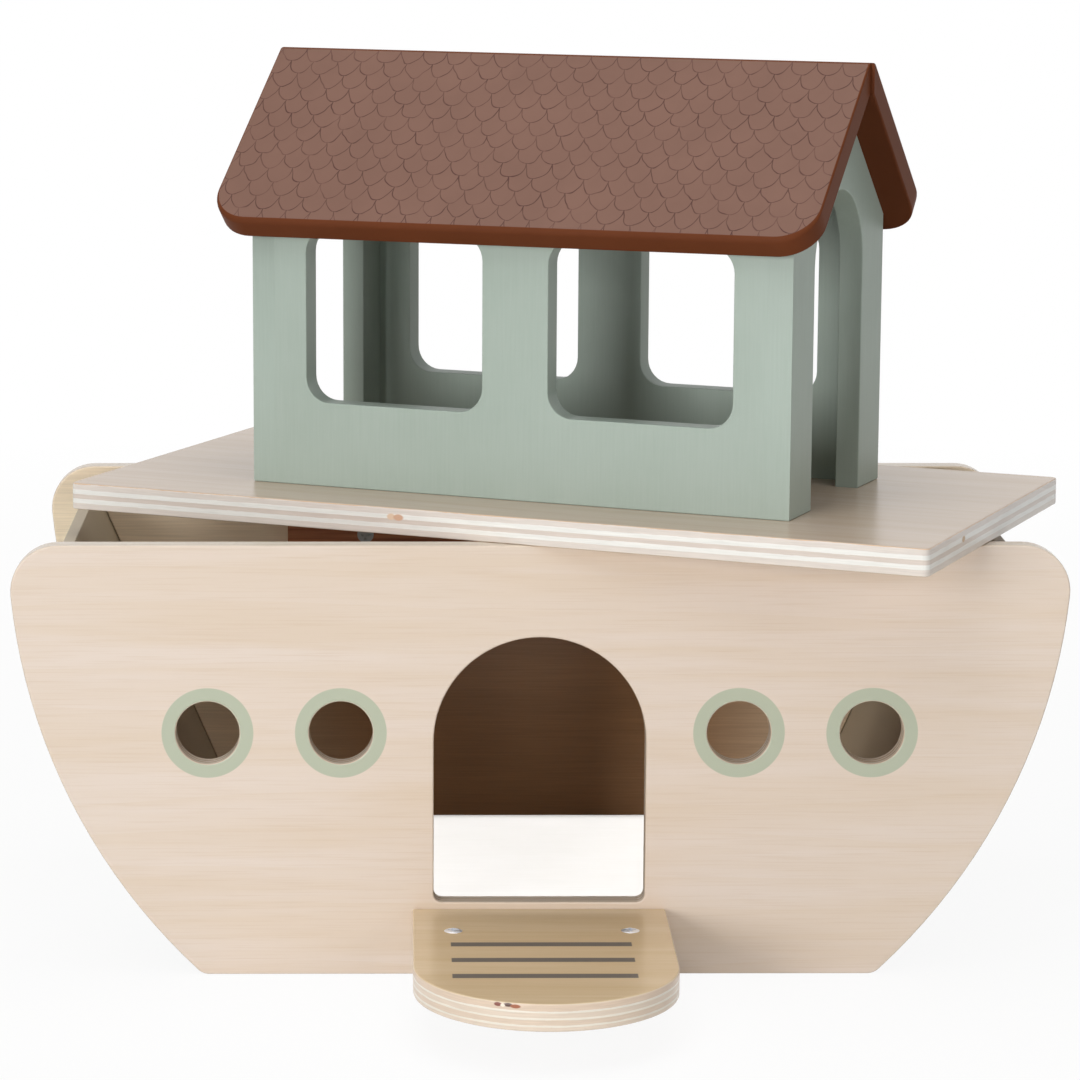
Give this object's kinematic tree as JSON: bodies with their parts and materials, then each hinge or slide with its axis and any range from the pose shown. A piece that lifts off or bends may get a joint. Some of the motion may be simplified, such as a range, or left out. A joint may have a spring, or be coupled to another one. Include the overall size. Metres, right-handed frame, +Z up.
{
  "type": "toy ark",
  "caption": "Wooden toy ark: curved plywood hull with an arched doorway, portholes and a boarding ramp, and a lift-off deck with a painted gabled cabin.",
  "frame": {"origin": "on the ground under the middle of the hull, on the underside of the floor board", "axes": "+X along the hull to the right as seen from the doorway side, +Y from the doorway side to the back, +Z up"},
  "size_m": [0.388, 0.3465, 0.328],
  "materials": {
    "plywood": "pale veneered plywood, clear matt lacquer",
    "sage_paint": "satin sage green paint on wood",
    "brown_paint": "satin brown paint on wood with fine printed scales",
    "white_floor": "matt white painted board",
    "rail_wood": "reddish-brown hardwood strip, unpainted",
    "dowel_wood": "plain beech dowel, glued in",
    "screw_steel": "bright zinc-plated steel"
  },
  "bodies": {
    "hull": {"hull_front_panel": "plywood", "hull_back_panel": "plywood", "left_end_board": "sage_paint", "right_end_board": "sage_paint", "hull_floor": "white_floor", "floor_dowels": "dowel_wood", "front_deck_rail": "rail_wood", "back_deck_rail": "rail_wood", "deck_rail_screws": "screw_steel", "boarding_ramp": "plywood", "ramp_screws": "screw_steel"},
    "deck": {"deck_board": "plywood", "cabin_front_wall": "sage_paint", "cabin_back_wall": "sage_paint", "cabin_left_gable": "sage_paint", "cabin_right_gable": "sage_paint", "cabin_corner_dowels": "dowel_wood", "cabin_screws": "screw_steel", "roof_front_slab": "brown_paint", "roof_back_slab": "brown_paint", "roof_dowels": "dowel_wood"}
  },
  "joints": [
    {"name": "deck_lift", "type": "slide", "parent": "hull", "child": "deck", "axis": [0, 0, 1], "range_m": [0, 0.2]}
  ]
}
